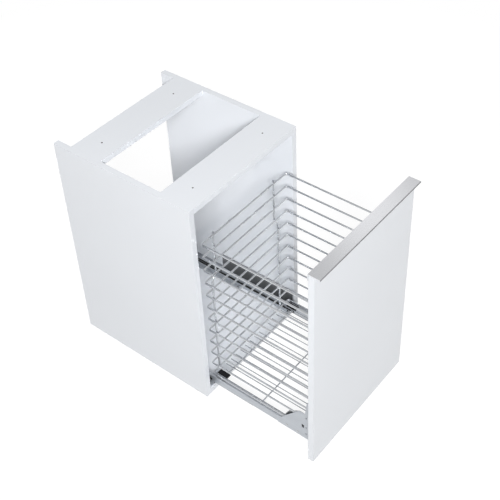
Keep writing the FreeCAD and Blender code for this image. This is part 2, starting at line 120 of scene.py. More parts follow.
def tintBetween(made, shader, fac, dark, light):
    ramp = made.node_tree.nodes.new("ShaderNodeValToRGB")
    for element, stop, colour in zip(ramp.color_ramp.elements, noiseSpan, (dark, light)):
        element.position = stop
        element.color = opaque(colour)
    made.node_tree.links.new(fac, ramp.inputs["Fac"])
    made.node_tree.links.new(ramp.outputs["Color"], shader.inputs["Base Color"])


def surfaceRelief(made, shader, fac, depth, strength):
    bump = made.node_tree.nodes.new("ShaderNodeBump")
    bump.inputs["Distance"].default_value = depth
    bump.inputs["Strength"].default_value = strength
    made.node_tree.links.new(fac, bump.inputs["Height"])
    made.node_tree.links.new(bump.outputs["Normal"], shader.inputs["Normal"])


def layFinish(made, shader, look):
    # One noise drives the tint, the roughness and, where the look has it, the relief
    for socket, value in look["shader"].items():
        shader.inputs[socket].default_value = value
    fac = objectNoise(made, look)
    tintBetween(made, shader, fac, look["dark"], look["light"])
    roughness = spreadNode(made.node_tree, fac, noiseSpan, look["roughness"])
    made.node_tree.links.new(roughness, shader.inputs["Roughness"])
    if "relief" in look:
        surfaceRelief(made, shader, fac, *look["relief"])


def startMaterial(name, look):
    made = bpy.data.materials.new(name)
    made.use_nodes = True
    shader = made.node_tree.nodes["Principled BSDF"]
    layFinish(made, shader, look)
    return made, shader


def plainFinish(name, look):
    made, shader = startMaterial(name, look)
    return made


def overlayFinish(made, under, look, fac):
    # A second finish where fac is 1
    nodes = made.node_tree.nodes
    links = made.node_tree.links
    over = nodes.new("ShaderNodeBsdfPrincipled")
    layFinish(made, over, look)
    mix = nodes.new("ShaderNodeMixShader")
    links.new(fac, mix.inputs["Fac"])
    links.new(under.outputs["BSDF"], mix.inputs[1])
    links.new(over.outputs["BSDF"], mix.inputs[2])
    links.new(mix.outputs["Shader"], nodes["Material Output"].inputs["Surface"])


def objectAxes(made):
    place = made.node_tree.nodes.new("ShaderNodeTexCoord")
    axes = made.node_tree.nodes.new("ShaderNodeSeparateXYZ")
    made.node_tree.links.new(place.outputs["Object"], axes.inputs["Vector"])
    return axes.outputs


def nearTo(made, value, middle, reach):
    # 1 within the reach of the middle, 0 elsewhere
    return mathNode(made.node_tree, "COMPARE", value, middle, reach)


def offsetFrom(made, value, middle, side):
    # Distance past a place that lies the same way to both sides of the middle
    tree = made.node_tree
    distance = mathNode(tree, "ABSOLUTE", mathNode(tree, "SUBTRACT", value, middle))
    return mathNode(tree, "SUBTRACT", distance, side)


# White lacquer
lacquerLook = {
    "shader": {"Specular IOR Level": 0.5, "Coat Weight": 0.35, "Coat Roughness": 0.04},
    "scale": 2.2,  # very slow change of tone over a board
    "detail": 2.0,
    "dark": (0.835, 0.858, 0.895),
    "light": (0.855, 0.878, 0.915),
    "roughness": (0.08, 0.12),
}
peelLook = {"scale": 260.0, "detail": 1.0, "relief": (0.00003, 0.15)}  # about 4 mm across
# Painted shade on the boards' rounded edges
edgeShadeLook = {
    "straightness": (0.9, 0.998),  # share of a normal along one axis, on a rounded edge and on a flat face
    "tone": (0.8, 1.0),
}


def shadeRoundedEdges(made, shader):
    # Painted shade: rounded edges are made greyer than the flat faces, to take out the brighter light they
    # catch
    tree = made.node_tree
    place = tree.nodes.new("ShaderNodeTexCoord")
    size = tree.nodes.new("ShaderNodeVectorMath")
    size.operation = "ABSOLUTE"
    axes = tree.nodes.new("ShaderNodeSeparateXYZ")
    shade = tree.nodes.new("ShaderNodeVectorMath")
    shade.operation = "SCALE"
    tree.links.new(place.outputs["Normal"], size.inputs[0])
    tree.links.new(size.outputs["Vector"], axes.inputs["Vector"])
    straightness = largestOf(tree, axes.outputs["X"], axes.outputs["Y"], axes.outputs["Z"])
    tone = spreadNode(tree, straightness, edgeShadeLook["straightness"], edgeShadeLook["tone"])
    tree.links.new(shader.inputs["Base Color"].links[0].from_socket, shade.inputs[0])
    tree.links.new(tone, shade.inputs["Scale"])
    tree.links.new(shade.outputs["Vector"], shader.inputs["Base Color"])


def startLacquer(name):
    made, shader = startMaterial(name, lacquerLook)
    surfaceRelief(made, shader, objectNoise(made, peelLook), *peelLook["relief"])
    shadeRoundedEdges(made, shader)
    return made, shader


def whiteLacquer():
    made, shader = startLacquer("whiteLacquer")
    return made


# Top rails: the walls of the worktop screw holes show raw chipboard, painted far darker than chipboard as
# shade in the holes
holeLook = {"across": 0.145, "middle": -0.025, "along": 0.164, "radius": 0.00256}
rawBoardShadeLook = {
    "shader": {},
    "scale": 900.0,
    "detail": 3.0,
    "dark": (0.06, 0.053, 0.045),
    "light": (0.13, 0.115, 0.10),
    "roughness": (0.75, 0.9),
}


def drilledLacquer():
    made, shader = startLacquer("drilledLacquer")
    tree = made.node_tree
    axes = objectAxes(made)
    offset = tree.nodes.new("ShaderNodeCombineXYZ")
    distance = tree.nodes.new("ShaderNodeVectorMath")
    distance.operation = "LENGTH"
    tree.links.new(offsetFrom(made, axes["X"], 0.0, holeLook["across"]), offset.inputs["X"])
    tree.links.new(offsetFrom(made, axes["Y"], holeLook["middle"], holeLook["along"]), offset.inputs["Y"])
    tree.links.new(offset.outputs["Vector"], distance.inputs[0])
    inHole = nearTo(made, distance.outputs["Value"], 0.0, holeLook["radius"])
    # Painted shade in the screw holes, over the raw board's grain
    overlayFinish(made, shader, rawBoardShadeLook, inHole)
    return made


# Handle: the narrow front face of its lip is painted darker than the brushed sheet, a painted reflection of
# dark surroundings
handleLook = {
    "shader": {"Metallic": 1.0},
    "scale": 1.0,
    "stretch": (5.0, 2400.0, 2400.0),  # brush lines run along the handle
    "detail": 3.0,
    "dark": (0.82, 0.827, 0.855),
    "light": (0.845, 0.852, 0.88),
    "roughness": (0.19, 0.23),
}
lipDarkReflectionLook = {
    **handleLook,
    "dark": (0.16, 0.163, 0.17),
    "light": (0.21, 0.213, 0.22),
    "roughness": (0.3, 0.4),
    "reach": 0.0004,  # how far behind the foremost point the painted dark reflection goes
}


def brushedAluminium():
    made, shader = startMaterial("brushedAluminium", handleLook)
    # Painted dark reflection on the lip's front face
    onDarkReflectionLip = nearTo(made, objectAxes(made)["Y"], cadLow.y, lipDarkReflectionLook["reach"])
    overlayFinish(made, shader, lipDarkReflectionLook, onDarkReflectionLip)
    return made


# Basket wires: the thin ones of its floor and the cross wires are painted darker, as painted shade on them
chromeLook = {
    "shader": {"Metallic": 1.0},
    "scale": 14.0,
    "detail": 2.0,
    "dark": (0.615, 0.632, 0.658),
    "light": (0.675, 0.692, 0.718),
    "roughness": (0.24, 0.30),
}
shadedThinChromeLook = {
    **chromeLook,
    "dark": (0.51, 0.526, 0.55),
    "light": (0.57, 0.586, 0.61),
}
# Weld beads: painted shade, dark where the wires cross
weldShadeLook = {
    "shader": {"Metallic": 1.0},
    "scale": 700.0,
    "detail": 3.0,
    "dark": (0.13, 0.13, 0.135),
    "light": (0.24, 0.24, 0.245),
    "roughness": (0.32, 0.5),
    "relief": (0.0001, 0.5),
}

# Runners and front brackets: zinc, with painted shade, near black, inside the channels that the rollers run
# in
zincLook = {
    "shader": {"Metallic": 0.7},
    "scale": 1.0,
    "stretch": (420.0, 6.0, 420.0),  # rolling lines run front to back
    "detail": 3.0,
    "dark": (0.46, 0.485, 0.52),
    "light": (0.55, 0.575, 0.61),
    "roughness": (0.36, 0.48),
    "relief": (0.00002, 0.3),
}
channelShadeLook = {
    "shader": {},
    "scale": 90.0,
    "detail": 3.0,
    "dark": (0.006, 0.006, 0.006),
    "light": (0.014, 0.013, 0.012),
    "roughness": (0.45, 0.7),
}
channelLook = {"side": 0.1802, "sideReach": 0.0066, "height": 0.0247, "heightReach": 0.0057}


def shadedTrack():
    made, shader = startMaterial("shadedTrack", zincLook)
    axes = objectAxes(made)
    across = offsetFrom(made, axes["X"], 0.0, channelLook["side"])
    inWidth = nearTo(made, across, 0.0, channelLook["sideReach"])
    inHeight = nearTo(made, axes["Z"], channelLook["height"], channelLook["heightReach"])
    # Painted shade inside the roller channels
    overlayFinish(made, shader, channelShadeLook, mathNode(made.node_tree, "MULTIPLY", inWidth, inHeight))
    return made


# Wall plates and runner screws, then the other fixings and the rollers; the plates' dark grey is painted
# reflection of dark surroundings, and the runner screws share it
darkReflectionSheetLook = {
    "shader": {"Metallic": 0.7},
    "scale": 1.0,
    "stretch": (300.0, 5.0, 300.0),
    "detail": 3.0,
    "dark": (0.29, 0.296, 0.308),
    "light": (0.35, 0.356, 0.368),
    "roughness": (0.30, 0.42),
}
fixingLook = {
    "shader": {"Metallic": 1.0},
    "scale": 350.0,
    "detail": 2.0,
    "dark": (0.46, 0.465, 0.47),
    "light": (0.58, 0.585, 0.59),
    "roughness": (0.22, 0.34),
}

# Black clips, grey catches and cages; a catch's tongue is painted black, as painted shade seen through the
# front bracket's holes
blackPlasticLook = {
    "shader": {"Specular IOR Level": 0.15},
    "scale": 900.0,  # moulded grain, about 1 mm
    "detail": 2.0,
    "dark": (0.006, 0.006, 0.007),
    "light": (0.012, 0.012, 0.013),
    "roughness": (0.38, 0.52),
    "relief": (0.00006, 0.4),
}
greyPlasticLook = {
    "shader": {"Specular IOR Level": 0.45},
    "scale": 700.0,
    "detail": 2.0,
    "dark": (0.34, 0.345, 0.352),
    "light": (0.40, 0.405, 0.412),
    "roughness": (0.34, 0.46),
    "relief": (0.00004, 0.3),
}
tongueShadeLook = {
    "shader": {},
    "scale": 700.0,
    "detail": 2.0,
    "dark": (0.004, 0.004, 0.005),
    "light": (0.008, 0.008, 0.009),
    "roughness": (0.5, 0.6),
    "side": 0.1884,
    "sideReach": 0.0015,  # outermost millimetre and a half of each catch
}


def greyPlastic():
    made, shader = startMaterial("greyPlastic", greyPlasticLook)
    across = offsetFrom(made, objectAxes(made)["X"], 0.0, tongueShadeLook["side"])
    # Painted shade on the tongue behind the bracket's holes
    overlayFinish(made, shader, tongueShadeLook, nearTo(made, across, 0.0, tongueShadeLook["sideReach"]))
    return made


# Bumpers and dowels
rubberLook = {
    "shader": {"Specular IOR Level": 0.4},
    "scale": 420.0,
    "detail": 2.0,
    "dark": (0.52, 0.53, 0.54),
    "light": (0.60, 0.61, 0.62),
    "roughness": (0.42, 0.58),
}
beechLook = {
    "shader": {"Specular IOR Level": 0.3},
    "scale": 1.0,
    "stretch": (60.0, 900.0, 900.0),  # grain runs along the dowel
    "detail": 4.0,
    "dark": (0.42, 0.27, 0.14),
    "light": (0.60, 0.42, 0.25),
    "roughness": (0.55, 0.7),
    "relief": (0.0001, 0.5),
}

finishes = {
    "white_board": whiteLacquer(),
    "handle_aluminium": brushedAluminium(),
    "basket_chrome": plainFinish("brightChrome", chromeLook),
    "runner_steel": plainFinish("zincSheet", zincLook),
    "dark_steel": plainFinish("darkSheet", darkReflectionSheetLook),
    "fixing_steel": plainFinish("zincFixing", fixingLook),
    "black_plastic": plainFinish("blackPlastic", blackPlasticLook),
    "grey_plastic": greyPlastic(),
    "bumper_rubber": plainFinish("softRubber", rubberLook),
    "beech": plainFinish("beechWood", beechLook),
}
trackFinish = shadedTrack()
railFinish = drilledLacquer()
ownFinishes = {
    "cabinet_profile": trackFinish,
    "intermediate_profile": trackFinish,
    "front_rail": railFinish,
    "rear_rail": railFinish,
}
for subpart in frame["record"]["subparts"]:
    cadMesh = cadNodes[subpart["node"]].data
    cadMesh.materials.clear()
    finish = finishes[subpart["material_slot"]]
    for start, ownFinish in ownFinishes.items():
        if subpart["node"].startswith(start):
            finish = ownFinish
    cadMesh.materials.append(finish)
print("finishes on CAD nodes:", len(finishes))


# Geometry Nodes building blocks
def startTree(name, inputs):
    tree = bpy.data.node_groups.new(name, "GeometryNodeTree")
    tree.interface.new_socket("Geometry", in_out="INPUT", socket_type="NodeSocketGeometry")
    for label, kind in inputs.items():
        tree.interface.new_socket(label, in_out="INPUT", socket_type=kind)
    tree.interface.new_socket("Geometry", in_out="OUTPUT", socket_type="NodeSocketGeometry")
    return tree, tree.nodes.new("NodeGroupInput"), tree.nodes.new("NodeGroupOutput")


def endTree(tree, start, end, shapes):
    real = tree.nodes.new("GeometryNodeRealizeInstances")
    paint = tree.nodes.new("GeometryNodeSetMaterial")
    tree.links.new(shapes, real.inputs["Geometry"])
    tree.links.new(real.outputs["Geometry"], paint.inputs["Geometry"])
    tree.links.new(start.outputs["Material"], paint.inputs["Material"])
    tree.links.new(paint.outputs["Geometry"], end.inputs["Geometry"])
    return tree


def bentWireTree():
    tree, start, end = startTree("bentWire", {
        "Diameter": "NodeSocketFloat",
        "Bend Radius": "NodeSocketFloat",
        "Bend Steps": "NodeSocketInt",
        "Sides": "NodeSocketInt",
        "Count": "NodeSocketInt",
        "Step": "NodeSocketVector",
        "Material": "NodeSocketMaterial",
    })
    path = tree.nodes.new("GeometryNodeMeshToCurve")
    fillet = tree.nodes.new("GeometryNodeFilletCurve")
    fillet.mode = "POLY"
    ring = tree.nodes.new("GeometryNodeCurvePrimitiveCircle")
    tube = tree.nodes.new("GeometryNodeCurveToMesh")
    tube.inputs["Fill Caps"].default_value = True
    row = tree.nodes.new("GeometryNodeMeshLine")
    copies = tree.nodes.new("GeometryNodeInstanceOnPoints")
    links = tree.links
    links.new(start.outputs["Geometry"], path.inputs["Mesh"])
    links.new(path.outputs["Curve"], fillet.inputs["Curve"])
    links.new(start.outputs["Bend Radius"], fillet.inputs["Radius"])
    links.new(start.outputs["Bend Steps"], fillet.inputs["Count"])
    links.new(mathNode(tree, "DIVIDE", start.outputs["Diameter"], 2.0), ring.inputs["Radius"])
    links.new(start.outputs["Sides"], ring.inputs["Resolution"])
    links.new(fillet.outputs["Curve"], tube.inputs["Curve"])
    links.new(ring.outputs["Curve"], tube.inputs["Profile Curve"])
    links.new(start.outputs["Count"], row.inputs["Count"])
    links.new(start.outputs["Step"], row.inputs["Offset"])
    links.new(row.outputs["Mesh"], copies.inputs["Points"])
    links.new(tube.outputs["Mesh"], copies.inputs["Instance"])
    return endTree(tree, start, end, copies.outputs["Instances"])


def weldSpotTree():
    tree, start, end = startTree("weldSpot", {
        "Flatness": "NodeSocketVector",
        "Material": "NodeSocketMaterial",
    })
    bead = tree.nodes.new("GeometryNodeMeshIcoSphere")
    bead.inputs["Radius"].default_value = 1.0
    bead.inputs["Subdivisions"].default_value = 2
    size = tree.nodes.new("GeometryNodeInputNamedAttribute")
    size.data_type = "FLOAT"
    size.inputs["Name"].default_value = "size"
    scale = tree.nodes.new("ShaderNodeVectorMath")
    scale.operation = "SCALE"
    copies = tree.nodes.new("GeometryNodeInstanceOnPoints")
    links = tree.links
    links.new(start.outputs["Flatness"], scale.inputs[0])
    links.new(size.outputs["Attribute"], scale.inputs["Scale"])
    links.new(start.outputs["Geometry"], copies.inputs["Points"])
    links.new(bead.outputs["Mesh"], copies.inputs["Instance"])
    links.new(scale.outputs["Vector"], copies.inputs["Scale"])
    return endTree(tree, start, end, copies.outputs["Instances"])


def fixingTree():
    tree, start, end = startTree("fixing", {
        "Pattern": "NodeSocketObject",
        "Material": "NodeSocketMaterial",
    })
    pattern = tree.nodes.new("GeometryNodeObjectInfo")
    facing = tree.nodes.new("GeometryNodeInputNamedAttribute")
    facing.data_type = "FLOAT_VECTOR"
    facing.inputs["Name"].default_value = "facing"
    turn = tree.nodes.new("FunctionNodeAlignRotationToVector")
    turn.axis = "Z"
    copies = tree.nodes.new("GeometryNodeInstanceOnPoints")
    links = tree.links
    links.new(start.outputs["Pattern"], pattern.inputs["Object"])
    links.new(facing.outputs["Attribute"], turn.inputs["Vector"])
    links.new(start.outputs["Geometry"], copies.inputs["Points"])
    links.new(pattern.outputs["Geometry"], copies.inputs["Instance"])
    links.new(turn.outputs["Rotation"], copies.inputs["Rotation"])
    return endTree(tree, start, end, copies.outputs["Instances"])


bentWire = bentWireTree()
weldSpot = weldSpotTree()
fixing = fixingTree()


def growMesh(name, base, tree, values):
    # Evaluates the tree on the base mesh and hands back a plain mesh
    seed = bpy.data.objects.new(name + "Seed", base)
    scene.collection.objects.link(seed)
    modifier = seed.modifiers.new(tree.name, "NODES")
    modifier.node_group = tree
    sockets = {item.name: item.identifier for item in tree.interface.items_tree if item.in_out == "INPUT"}
    for label, value in values.items():
        modifier[sockets[label]] = value
    graph = bpy.context.evaluated_depsgraph_get()
    grown = bpy.data.meshes.new_from_object(seed.evaluated_get(graph), depsgraph=graph)
    seed.modifiers.remove(modifier)
    bpy.data.objects.remove(seed)
    grown.name = name
    return grown


wallSides = 4  # tube walls and beads have faces of three or four sides, end caps have more


def roundedShade(mesh):
    for face in mesh.polygons:
        face.use_smooth = len(face.vertices) <= wallSides


def addPiece(name, mesh, body, standsFor):
    piece = bpy.data.objects.new(name, mesh)
    scene.collection.objects.link(piece)
    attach(piece, body)
    if standsFor:
        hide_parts(*standsFor)
    print("piece", name, "faces", len(mesh.polygons))
    return piece


def joinMeshes(name, meshes):
    whole = bmesh.new()
    for mesh in meshes:
        whole.from_mesh(mesh)
    joined = bpy.data.meshes.new(name)
    whole.to_mesh(joined)
    whole.free()
    for material in meshes[0].materials:
        joined.materials.append(material)
    return joined


def pathMesh(name, points):
    mesh = bpy.data.meshes.new(name)
    mesh.from_pydata(points, [(i, i + 1) for i in range(len(points) - 1)], [])
    return mesh


def wireMesh(name, points, diameter, bend, settings, count=1, step=(0.0, 0.0, 0.0)):
    grown = growMesh(name, pathMesh(name + "Path", points), bentWire, {
        "Diameter": diameter,
        "Bend Radius": bend,
        "Bend Steps": settings["bendSteps"],
        "Sides": settings["sides"],
        "Count": count,
        "Step": step,
        "Material": settings.get("finish", finishes["basket_chrome"]),
    })
    roundedShade(grown)
    return grown


# Basket rows: U-shaped round wires, bent at the rear corners
rowSettings = {"sides": 20, "bendSteps": 8, "bend": 0.006}
rowNodes = sorted(name for name in cadNodes if name.startswith("basket_wire_"))
topLow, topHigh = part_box(rowNodes[0])
endLow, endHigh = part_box(rowNodes[-1])
wireDia = topHigh.z - topLow.z
basketHalf = topHigh.x - wireDia / 2
basketRear = topHigh.y - wireDia / 2
rowStart = topLow.y
topRowZ = (topLow.z + topHigh.z) / 2
rowPitch = (topHigh.z - endHigh.z) / (len(rowNodes) - 1)
rowHeights = [topRowZ - rowPitch * row for row in range(len(rowNodes))]


def rowPath(z):
    return [
        (-basketHalf, rowStart, z),
        (-basketHalf, basketRear, z),
        (basketHalf, basketRear, z),
        (basketHalf, rowStart, z),
    ]


rowMesh = wireMesh(
    "basketRows", rowPath(rowHeights[-1]), wireDia, rowSettings["bend"], rowSettings,
    len(rowNodes), (0.0, 0.0, rowPitch),
)
addPiece("basketRows", rowMesh, "pull_out", rowNodes)

baseLow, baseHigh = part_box("basket_base_frame")
baseZ = (baseLow.z + baseHigh.z) / 2
baseMesh = wireMesh("basketBase", rowPath(baseZ), wireDia, rowSettings["bend"], rowSettings)
addPiece("basketBase", baseMesh, "pull_out", ["basket_base_frame"])

# Rear stays: upright wires with a jog, welded behind the rows
staySettings = {"sides": 20, "bendSteps": 6, "bend": 0.012, "jogMiddle": 0.42212, "jogRise": 0.017}


def stayPath(node):
    low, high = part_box(node)
    radius = (high.y - low.y) / 2
    outer, inner = low.x + radius, high.x - radius
    if low.x > 0:
        outer, inner = inner, outer
    y = (low.y + high.y) / 2
    foot = staySettings["jogMiddle"] - staySettings["jogRise"] / 2
    head = staySettings["jogMiddle"] + staySettings["jogRise"] / 2
    return [(outer, y, low.z), (outer, y, foot), (inner, y, head), (inner, y, high.z)]


stayNodes = ["basket_stay_left", "basket_stay_right"]
stayLow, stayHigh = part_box(stayNodes[0])
stayDia = stayHigh.y - stayLow.y
stayPaths = [stayPath(node) for node in stayNodes]
stayMeshes = [
    wireMesh("basketStay", path, stayDia, staySettings["bend"], staySettings) for path in stayPaths
]
addPiece("basketStays", joinMeshes("basketStays", stayMeshes), "pull_out", stayNodes)

# Basket floor: thin wires front to back on three cross wires
floorSettings = {
    "sides": 14,
    "bendSteps": 1,
    "count": 17,
    # darker chrome: painted shade on the floor and cross wires
    "finish": plainFinish("thinChrome", shadedThinChromeLook),
}
floorLow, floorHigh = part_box("floor_wires")
floorDia = floorHigh.z - floorLow.z
floorZ = (floorLow.z + floorHigh.z) / 2
floorFirst = floorLow.x + floorDia / 2
floorPitch = (floorHigh.x - floorLow.x - floorDia) / (floorSettings["count"] - 1)
floorMesh = wireMesh(
    "basketFloor", [(floorFirst, floorLow.y, floorZ), (floorFirst, floorHigh.y, floorZ)], floorDia, 0.0,
    floorSettings, floorSettings["count"], (floorPitch, 0.0, 0.0),
)
addPiece("basketFloor", floorMesh, "pull_out", ["floor_wires"])

crossNodes = ["floor_cross_wire_front", "floor_cross_wire_middle", "floor_cross_wire_rear"]
crossMeshes = []
crossPlaces = []
for crossNode in crossNodes:
    crossLow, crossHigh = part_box(crossNode)
    crossDia = crossHigh.z - crossLow.z
    crossMid = (crossLow + crossHigh) / 2
    crossPlaces.append(crossMid)
    crossEnds = [(crossLow.x, crossMid.y, crossMid.z), (crossHigh.x, crossMid.y, crossMid.z)]
    crossMeshes.append(wireMesh("crossWire", crossEnds, crossDia, 0.0, floorSettings))
addPiece("basketCrossWires", joinMeshes("crossWires", crossMeshes), "pull_out", crossNodes)
print("basket wires done")

# Weld spots where wires cross, painted dark as shade in the gaps between the crossing wires
weldSettings = {
    "rowSize": 0.0022,
    "floorSize": 0.0014,
    "flatness": (1.0, 0.75, 0.85),
    "finish": plainFinish("weldPaintedShade", weldShadeLook),
}


def weldPoints():
    places = []
    for path in stayPaths:
        footX = path[0][0]
        headX = path[-1][0]
        for z in rowHeights + [baseZ]:
            x = headX if z > staySettings["jogMiddle"] else footX
            places.append(((x, basketRear + wireDia / 2, z), weldSettings["rowSize"]))
    for middle in crossPlaces:
        seamZ = middle.z + crossDia / 2
        for i in range(floorSettings["count"]):
            places.append(((floorFirst + floorPitch * i, middle.y, seamZ), weldSettings["floorSize"]))
        for side in (-basketHalf, basketHalf):
            places.append(((side, middle.y, seamZ), weldSettings["floorSize"]))
    return places


weldPlaces = weldPoints()
weldSeed = bpy.data.meshes.new("weldSeed")
weldSeed.from_pydata([place for place, size in weldPlaces], [], [])
weldSizes = weldSeed.attributes.new("size", "FLOAT", "POINT")
weldSizes.data.foreach_set("value", [size for place, size in weldPlaces])
weldMesh = growMesh("weldSpots", weldSeed, weldSpot, {
    "Flatness": weldSettings["flatness"],
    "Material": weldSettings["finish"],
})
roundedShade(weldMesh)
addPiece("weldSpots", weldMesh, "pull_out", [])


# Fixings: a turned pattern is set on the place of each CAD solid
solidSettings = {"sameCorner": 1e-6, "sortDigits": 5}


def solidsOf(node):
    # Low and high corner of each separate solid in a CAD node
    copy = bmesh.new()
    copy.from_mesh(cadNodes[node].data)
    bmesh.ops.remove_doubles(copy, verts=copy.verts, dist=solidSettings["sameCorner"])
    waiting = set(copy.verts)
    boxes = []
    while waiting:
        group = [waiting.pop()]
        for vert in group:  # the list grows while it is walked
            for edge in vert.link_edges:
                other = edge.other_vert(vert)
                if other in waiting:
                    waiting.discard(other)
                    group.append(other)
        low = Vector([min(vert.co[i] for vert in group) for i in range(3)])
        high = Vector([max(vert.co[i] for vert in group) for i in range(3)])
        boxes.append((low, high))
    copy.free()
    digits = solidSettings["sortDigits"]
    return sorted(boxes, key=lambda box: tuple(round(value, digits) for value in box[0]))


def firstSize(boxes):
    low, high = boxes[0]
    return high - low


def turnProfile(bm, profile, sides):
    # Spins a profile of radius and height about Z and hands back its first ring's edges
    rings = []
    for radius, height in profile:
        ring = []
        for i in range(sides):
            angle = 2 * math.pi * i / sides
            ring.append(bm.verts.new((radius * math.cos(angle), radius * math.sin(angle), height)))
        rings.append(ring)
    for upper, lower in zip(rings, rings[1:]):
        for i in range(sides):
            j = (i + 1) % sides
            bm.faces.new((upper[i], lower[i], lower[j], upper[j]))
    bm.faces.new(rings[-1][::-1])
    return [bm.edges.get((rings[0][i], rings[0][(i + 1) % sides])) for i in range(sides)]


def closeFlat(bm, rim):
    bmesh.ops.triangle_fill(bm, edges=rim, use_beauty=True, normal=(0.0, 0.0, 1.0))


crossTaper = 0.8  # size of a recess at its bottom, as a share of its mouth


def cutCross(bm, rim, reach, width, height, depth):
    # Fills the top inside the rim round a cross-shaped recess
    corners = []
    for quarter in range(4):
        turn = Matrix.Rotation(quarter * math.pi / 2, 3, "Z")
        for x, y in ((reach, -width / 2), (reach, width / 2), (width / 2, width / 2)):
            corners.append(turn @ Vector((x, y, 0.0)))
    mouth = [bm.verts.new((p.x, p.y, height)) for p in corners]
    pit = [bm.verts.new((p.x * crossTaper, p.y * crossTaper, height - depth)) for p in corners]
    edges = []
    for i in range(len(mouth)):
        j = (i + 1) % len(mouth)
        edges.append(bm.edges.new((mouth[i], mouth[j])))
        bm.faces.new((mouth[j], mouth[i], pit[i], pit[j]))
    bmesh.ops.triangle_fill(bm, edges=rim + edges, use_beauty=True, normal=(0.0, 0.0, 1.0))
    bm.faces.new(pit)


def patternObject(name, bm):
    bmesh.ops.recalc_face_normals(bm, faces=bm.faces)
    mesh = bpy.data.meshes.new(name)
    bm.to_mesh(mesh)
    bm.free()
    pattern = bpy.data.objects.new(name, mesh)
    scene.collection.objects.link(pattern)
    return pattern


def domeProfile(radius, height, wall, top, steps=5):
    # From the flat top's rim down a quarter round to an upright wall
    profile = []
    for i in range(steps + 1):
        angle = math.pi / 2 * i / steps
        profile.append((top + (radius - top) * math.sin(angle), wall + (height - wall) * math.cos(angle)))
    return profile + [(radius, 0.0)]


# Pan-head screw, in shares of the head's height and radius and of the shank
panSettings = {
    "wall": 0.3,
    "flatTop": 0.62,
    "tip": 0.8,
    "point": 0.2,
    "crossReach": 0.52,
    "crossWidth": 0.2,
    "crossDepth": 0.6,
    "sides": 24,
}


def panScrew(headDia, headHeight, shankDia, length):
    bm = bmesh.new()
    radius = headDia / 2
    shank = shankDia / 2
    tip = shankDia * panSettings["tip"]
    profile = domeProfile(
        radius, headHeight, headHeight * panSettings["wall"], radius * panSettings["flatTop"]
    )
    profile += [(shank, 0.0), (shank, tip - length), (shank * panSettings["point"], -length)]
    rim = turnProfile(bm, profile, panSettings["sides"])
    cutCross(
        bm, rim, radius * panSettings["crossReach"], radius * panSettings["crossWidth"],
        headHeight, headHeight * panSettings["crossDepth"],
    )
    return patternObject("panScrew", bm)


# Flush screw, in shares of the head's radius and sink
flushSettings = {"crossReach": 0.55, "crossWidth": 0.2, "crossDepth": 0.7, "sides": 24}


def flushScrew(headDia, sink, shankDia, length):
    bm = bmesh.new()
    radius = headDia / 2
    shank = shankDia / 2
    profile = [(radius, 0.0), (radius, -sink), (shank, -sink), (shank, -length)]
    rim = turnProfile(bm, profile, flushSettings["sides"])
    cutCross(
        bm, rim, radius * flushSettings["crossReach"], radius * flushSettings["crossWidth"],
        0.0, sink * flushSettings["crossDepth"],
    )
    return patternObject("flushScrew", bm)


# Rivet with a dome at both ends, in shares of its length, of the head's height and of its radius
rivetSettings = {"head": 0.2, "shank": 0.6, "wall": 0.15, "flatTop": 0.3, "sides": 20}


def domedRivet(headDia, length):
    bm = bmesh.new()
    radius = headDia / 2
    head = length * rivetSettings["head"]
    shank = radius * rivetSettings["shank"]
    dome = domeProfile(radius, head, head * rivetSettings["wall"], radius * rivetSettings["flatTop"])
    outer = [(r, z + length / 2 - head) for r, z in dome]
    inner = [(r, -z) for r, z in reversed(outer)]
    profile = outer + [(shank, outer[-1][1]), (shank, inner[0][1])] + inner
    rim = turnProfile(bm, profile, rivetSettings["sides"])
    closeFlat(bm, rim)
    return patternObject("domedRivet", bm)


# Cam lock: only the face and its rim show, in shares of the radius and of the depth
camSettings = {
    "depth": 0.0032,
    "rim": 0.07,
    "crossReach": 0.62,
    "crossWidth": 0.2,
    "crossDepth": 0.25,
    "sides": 32,
}


def camFace(dia):
    bm = bmesh.new()
    radius = dia / 2
    rimWidth = radius * camSettings["rim"]
    depth = camSettings["depth"]
    rim = turnProfile(
        bm, [(radius - rimWidth, 0.0), (radius, -rimWidth), (radius, -depth)], camSettings["sides"]
    )
    cutCross(
        bm, rim, radius * camSettings["crossReach"], radius * camSettings["crossWidth"],
        0.0, depth * camSettings["crossDepth"],
    )
    return patternObject("camFace", bm)


# Closing pad, in shares of its height and of its diameter
padSettings = {"wall": 0.25, "flatTop": 0.12, "steps": 6, "sides": 28}


def domedPad(dia, height):
    bm = bmesh.new()
    profile = domeProfile(
        dia / 2, height, height * padSettings["wall"], dia * padSettings["flatTop"], padSettings["steps"]
    )
    rim = turnProfile(bm, profile, padSettings["sides"])
    closeFlat(bm, rim)
    return patternObject("domedPad", bm)


# Roller with bevelled ends, in a share of its length
rollerSettings = {"bevel": 0.06, "sides": 24}


def plainRoller(dia, length):
    bm = bmesh.new()
    radius = dia / 2
    half = length / 2
    bevel = length * rollerSettings["bevel"]
    profile = [
        (radius - bevel, half),
        (radius, half - bevel),
        (radius, bevel - half),
        (radius - bevel, -half),
    ]
    rim = turnProfile(bm, profile, rollerSettings["sides"])
    closeFlat(bm, rim)
    return patternObject("plainRoller", bm)


def setFixings(name, pattern, places, body, slotName, standsFor):
    # Places are pairs of a point and the way the head faces
    seed = bpy.data.meshes.new(name + "Seed")
    seed.from_pydata([point for point, facing in places], [], [])
    facing = seed.attributes.new("facing", "FLOAT_VECTOR", "POINT")
    facing.data.foreach_set("vector", [value for point, way in places for value in way])
    grown = growMesh(name, seed, fixing, {"Pattern": pattern, "Material": finishes[slotName]})
    for face in grown.polygons:
        face.use_smooth = False
    addPiece(name, grown, body, standsFor)
    bpy.data.objects.remove(pattern)


